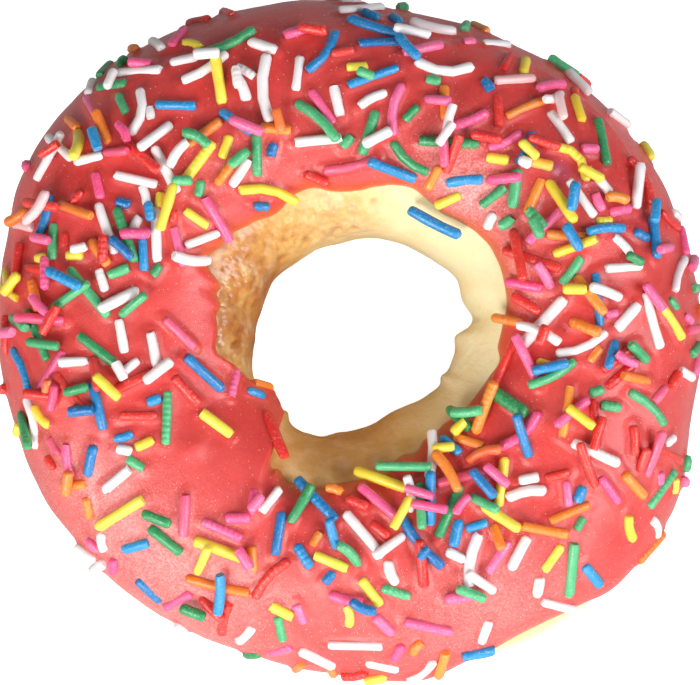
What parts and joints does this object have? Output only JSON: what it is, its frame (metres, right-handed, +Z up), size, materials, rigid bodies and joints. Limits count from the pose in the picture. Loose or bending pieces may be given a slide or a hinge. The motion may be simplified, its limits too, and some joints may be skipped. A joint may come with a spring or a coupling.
{
  "type": "sprinkle frosted doughnut",
  "caption": "Ring doughnut of fried dough with a set skin of coral-pink icing over its top and rod sprinkles fused into it; rests on a flat base.",
  "frame": {"origin": "centre of the ring's outline on the surface it rests on", "axes": "+Z up through the hole, towards the iced side; the picture looks down -Z with +X to its right and +Y to its top"},
  "size_m": [0.09, 0.0876, 0.0328],
  "materials": {
    "dough": "matte",
    "icing": "satin",
    "white_sprinkles": "satin",
    "pink_sprinkles": "satin",
    "red_sprinkles": "satin",
    "orange_sprinkles": "satin",
    "yellow_sprinkles": "satin",
    "green_sprinkles": "satin",
    "blue_sprinkles": "satin"
  },
  "bodies": {
    "root": {"dough": "dough", "icing": "icing"}
  },
  "joints": []
}
